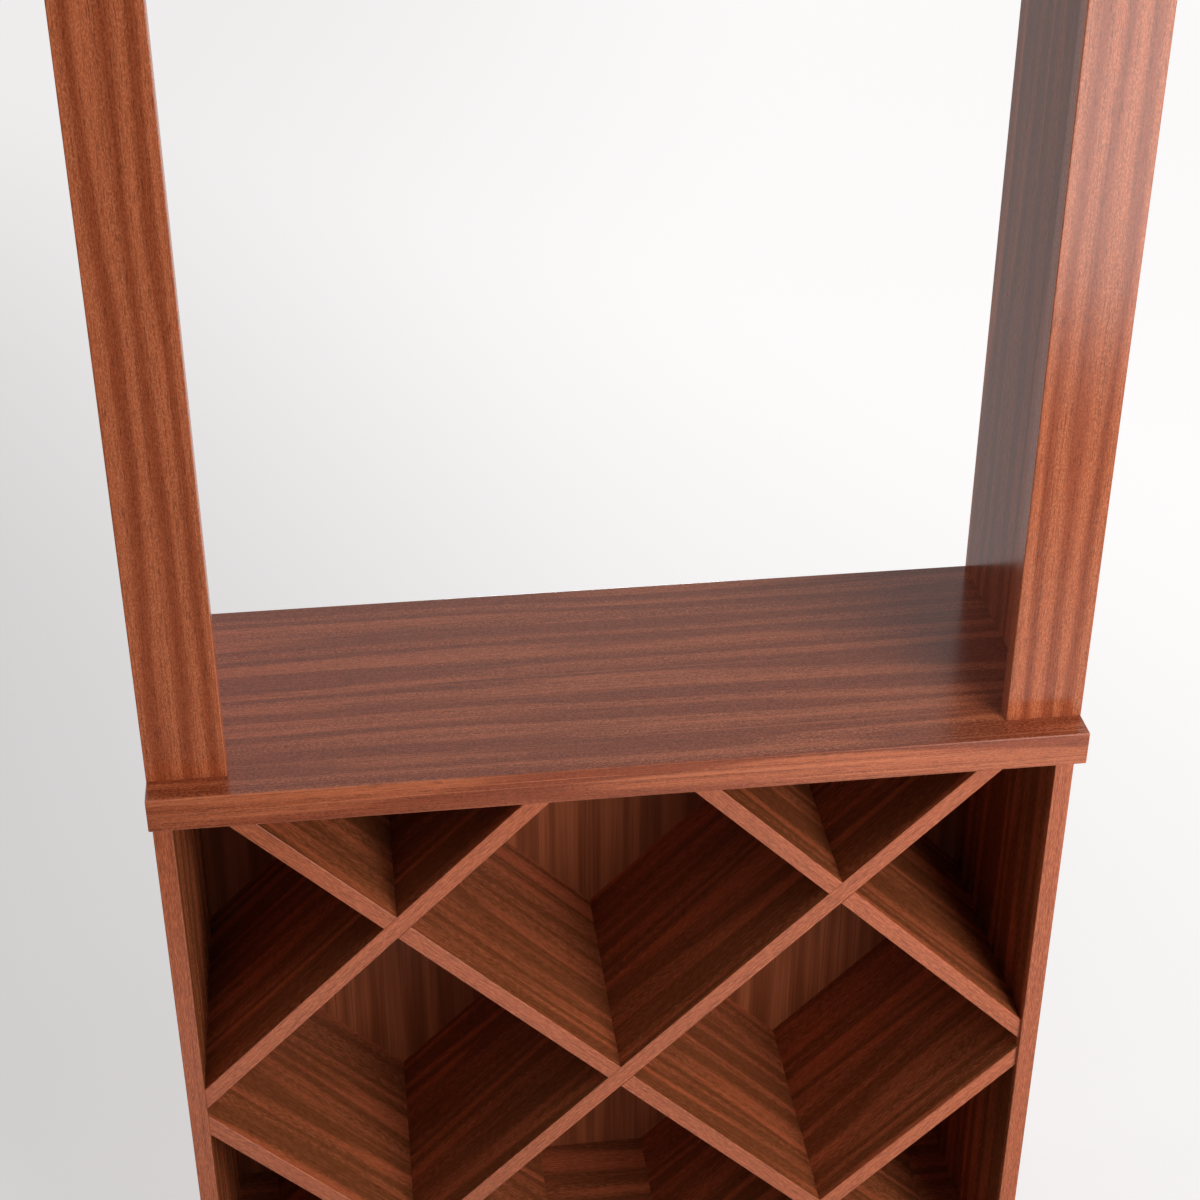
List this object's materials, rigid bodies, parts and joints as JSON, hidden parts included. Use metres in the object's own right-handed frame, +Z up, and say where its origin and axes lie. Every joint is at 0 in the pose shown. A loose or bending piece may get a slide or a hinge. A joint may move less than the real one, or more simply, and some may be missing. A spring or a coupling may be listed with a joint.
{
  "type": "wine tasting station",
  "caption": "Lacquered mahogany wine tasting station: base cabinet of crossed-board diamond bottle bins, thick overhanging tabletop and tall open uprights tied by a header.",
  "frame": {"origin": "on the floor under the middle of the station's plan box", "axes": "+Z up, +X to the right as seen from the front, +Y from the front to the rear"},
  "size_m": [0.9144, 0.3302, 2.1336],
  "materials": {
    "mahogany_case": "satin-gloss lacquered mahogany, ribbon figure",
    "mahogany_slats": "satin-gloss lacquered mahogany, grain along each board",
    "mahogany_tabletop": "gloss lacquered mahogany, grain along the width",
    "mahogany_uprights": "satin-gloss lacquered mahogany, upright grain",
    "mahogany_plywood": "thin veneered plywood, satin",
    "beech_dowels": "turned beech",
    "poplar_blocks": "sawn poplar",
    "zinc_screws": "zinc-plated steel"
  },
  "bodies": {
    "root": {"base_side_left": "mahogany_case", "base_side_right": "mahogany_case", "base_deck": "mahogany_case", "base_sub_top": "mahogany_case", "toe_kick": "mahogany_case", "plinth_rail": "mahogany_case", "slat_rise_upper": "mahogany_slats", "slat_rise_long": "mahogany_slats", "slat_rise_lower": "mahogany_slats", "slat_fall_upper": "mahogany_slats", "slat_fall_long": "mahogany_slats", "slat_fall_lower": "mahogany_slats", "tabletop": "mahogany_tabletop", "stile_left": "mahogany_uprights", "stile_right": "mahogany_uprights", "upright_left": "mahogany_uprights", "upright_right": "mahogany_uprights", "header_rail": "mahogany_uprights", "top_panel": "mahogany_uprights", "rear_rail": "mahogany_uprights", "base_back": "mahogany_plywood", "case_dowels": "beech_dowels", "stile_foot_dowels": "beech_dowels", "upright_foot_dowels": "beech_dowels", "stile_edge_dowels": "beech_dowels", "header_dowels": "beech_dowels", "upright_head_dowels": "beech_dowels", "rear_rail_dowels": "beech_dowels", "plinth_glue_blocks": "poplar_blocks", "back_screws": "zinc_screws", "tabletop_screws": "zinc_screws"}
  },
  "joints": []
}
